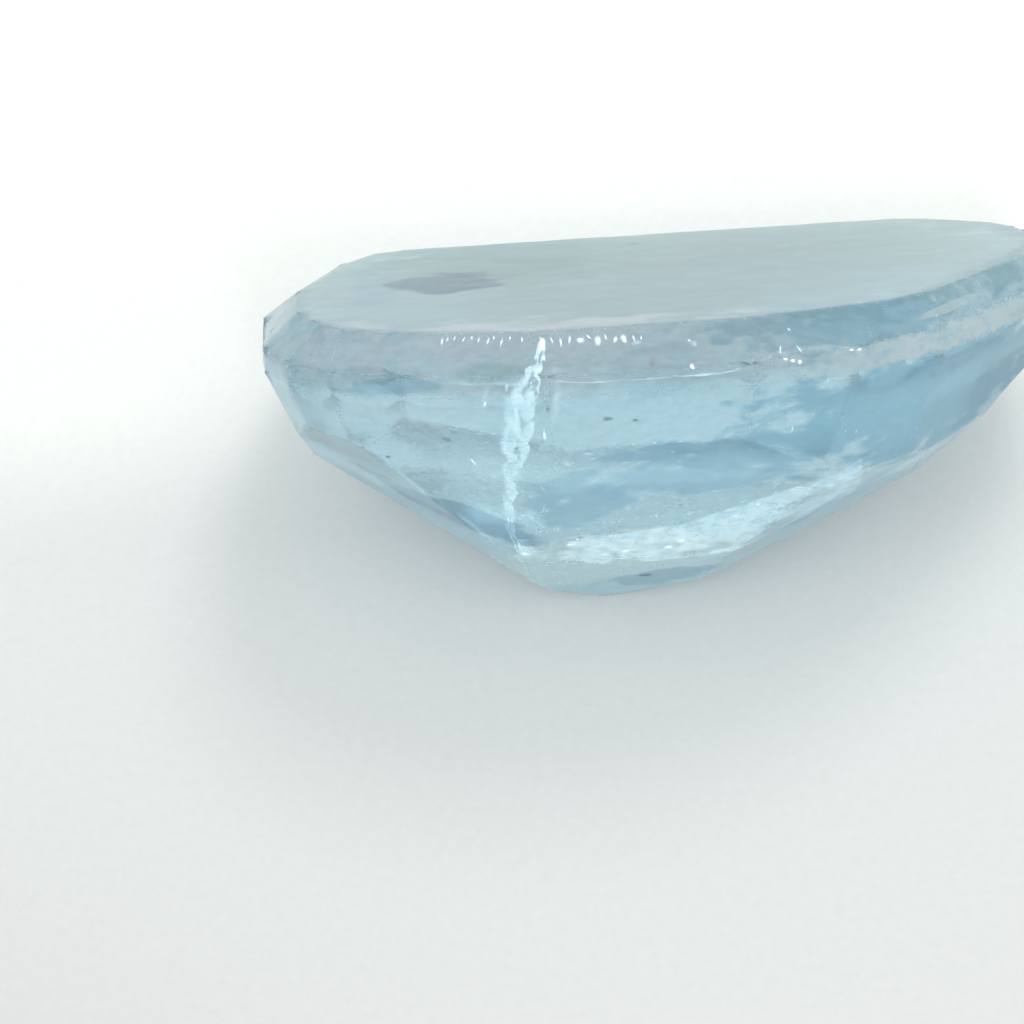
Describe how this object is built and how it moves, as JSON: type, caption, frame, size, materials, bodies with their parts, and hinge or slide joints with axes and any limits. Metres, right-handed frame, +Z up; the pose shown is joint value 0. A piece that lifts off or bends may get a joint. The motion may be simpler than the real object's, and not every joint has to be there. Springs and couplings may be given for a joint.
{
  "type": "faceted aquamarine",
  "caption": "Cut cushion-shaped aquamarine, pale blue and clear, with a flat table, low crown and deep faceted pavilion, lying on one pavilion facet.",
  "frame": {"origin": "middle of the stone's box, on the surface it lies on", "axes": "+Z up, +X along the stone's length, -Y towards the raised side of its girdle; the table faces +Z and +Y, leaning back 40 degrees"},
  "size_m": [0.0142, 0.0078, 0.007],
  "materials": {
    "aquamarine": "polished clear pale blue crystal, IOR 1.577, lightly worn facet edges and a frosted girdle, with veils, growth tubes and a few dark specks inside"
  },
  "bodies": {
    "root": {"aquamarine_crystal": "aquamarine"}
  },
  "joints": []
}
